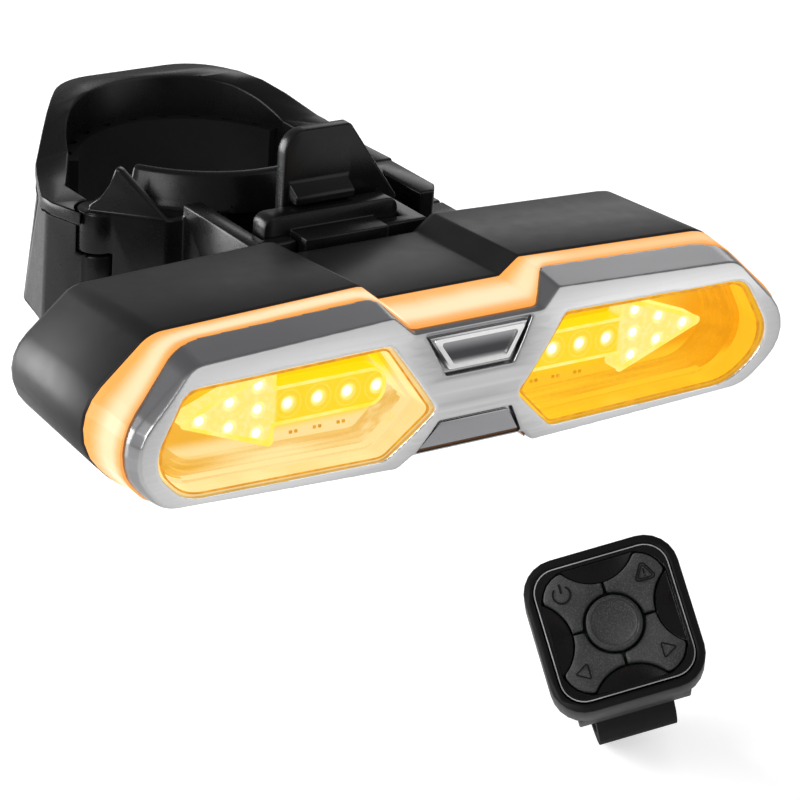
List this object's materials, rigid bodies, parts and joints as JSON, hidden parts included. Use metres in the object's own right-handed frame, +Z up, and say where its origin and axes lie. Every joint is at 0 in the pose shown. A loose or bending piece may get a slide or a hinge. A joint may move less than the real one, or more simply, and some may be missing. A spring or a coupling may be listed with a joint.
{
  "type": "bicycle turn signal light",
  "caption": "Rear bicycle turn signal lamp with two lit arrow windows on a hinged seatpost clamp, with a separate handlebar remote whose pressable keys work it",
  "frame": {"origin": "on the axis of the seatpost bore, half way up the clamp", "axes": "Z is up along the bore's axis, -Y is the way the lamp faces, X runs across the lamp"},
  "size_m": [0.1807, 0.1283, 0.1538],
  "materials": {
    "bracket_plastic": "fine grain",
    "grip_rubber": "smooth",
    "plain_steel": "bright",
    "insert_brass": "turned",
    "housing_plastic": "satin",
    "amber_guide": "frosted",
    "chrome_trim": "polished",
    "amber_lens": "clear tint",
    "amber_tray": "stepped",
    "arrow_yellow": "diffusing",
    "lit_white": "lit",
    "board_white": "solder mask",
    "board_green": "solder mask",
    "cell_metal": "foil",
    "switch_black": "moulded",
    "remote_plastic": "satin",
    "remote_gloss": "polished",
    "key_rubber": "grained"
  },
  "bodies": {
    "bracket": {"saddle": "bracket_plastic", "saddle_pad": "grip_rubber", "hinge_pin": "plain_steel", "screw_insert": "insert_brass", "latch_pin": "plain_steel", "slide_foot": "bracket_plastic", "foot_screws": "plain_steel", "rear_housing": "housing_plastic", "seal_ring": "grip_rubber", "light_guide": "amber_guide", "bezel": "chrome_trim", "badge_plate": "chrome_trim", "lower_plate": "chrome_trim", "left_lens": "amber_lens", "right_lens": "amber_lens", "left_tray": "amber_tray", "right_tray": "amber_tray", "left_arrow": "arrow_yellow", "right_arrow": "arrow_yellow", "led_board": "board_white", "leds": "lit_white", "main_board": "board_green", "battery": "cell_metal", "usb_socket": "plain_steel", "power_switch": "switch_black"},
    "band": {"band": "bracket_plastic", "band_pad": "grip_rubber", "clamp_screw": "plain_steel"},
    "latch": {"latch_tongue": "bracket_plastic"},
    "power_button": {"power_button": "housing_plastic"},
    "port_cover": {"port_cover": "grip_rubber"},
    "remote": {"remote_base": "remote_plastic", "remote_pad": "grip_rubber", "remote_strap": "grip_rubber", "remote_case": "remote_plastic", "remote_rim": "remote_gloss", "remote_board": "board_green", "dome_switches": "plain_steel", "coin_cell": "cell_metal"},
    "power_key": {"power_key": "key_rubber"},
    "hazard_key": {"hazard_key": "key_rubber"},
    "left_key": {"left_key": "key_rubber"},
    "right_key": {"right_key": "key_rubber"},
    "centre_key": {"centre_key": "key_rubber"}
  },
  "joints": [
    {"name": "clamp_swing", "type": "hinge", "parent": "bracket", "child": "band", "pos_m": [-0.0212, -0.011, 0], "axis": [0, 0, 1], "range_deg": [0, 75]},
    {"name": "latch_press", "type": "hinge", "parent": "bracket", "child": "latch", "pos_m": [0, -0.0286, -0.0042], "axis": [-1, 0, 0], "range_deg": [0, 8], "stiffness_Nm_per_rad": 0.5},
    {"name": "power_press", "type": "slide", "parent": "bracket", "child": "power_button", "axis": [0, -1, 0], "range_m": [0, 0.0005], "stiffness_N_per_m": 1500},
    {"name": "port_flap", "type": "hinge", "parent": "bracket", "child": "port_cover", "pos_m": [-0.026, -0.0375, -0.00145], "axis": [-1, 0, 0], "range_deg": [0, 100]},
    {"name": "remote_turn", "type": "hinge", "parent": "bracket", "child": "remote", "pos_m": [0.1178, 0.04488, -0.11494], "axis": [0.8525, -0.4224, 0.3079], "range_deg": [-45, 45]},
    {"name": "power_key_press", "type": "slide", "parent": "remote", "child": "power_key", "axis": [0.517, 0.5947, -0.6157], "range_m": [0, 0.0007], "stiffness_N_per_m": 1200},
    {"name": "hazard_key_press", "type": "slide", "parent": "remote", "child": "hazard_key", "axis": [0.517, 0.5947, -0.6157], "range_m": [0, 0.0007], "stiffness_N_per_m": 1200},
    {"name": "left_key_press", "type": "slide", "parent": "remote", "child": "left_key", "axis": [0.517, 0.5947, -0.6157], "range_m": [0, 0.0007], "stiffness_N_per_m": 1200},
    {"name": "right_key_press", "type": "slide", "parent": "remote", "child": "right_key", "axis": [0.517, 0.5947, -0.6157], "range_m": [0, 0.0007], "stiffness_N_per_m": 1200},
    {"name": "centre_key_press", "type": "slide", "parent": "remote", "child": "centre_key", "axis": [0.517, 0.5947, -0.6157], "range_m": [0, 0.0007], "stiffness_N_per_m": 1200}
  ]
}
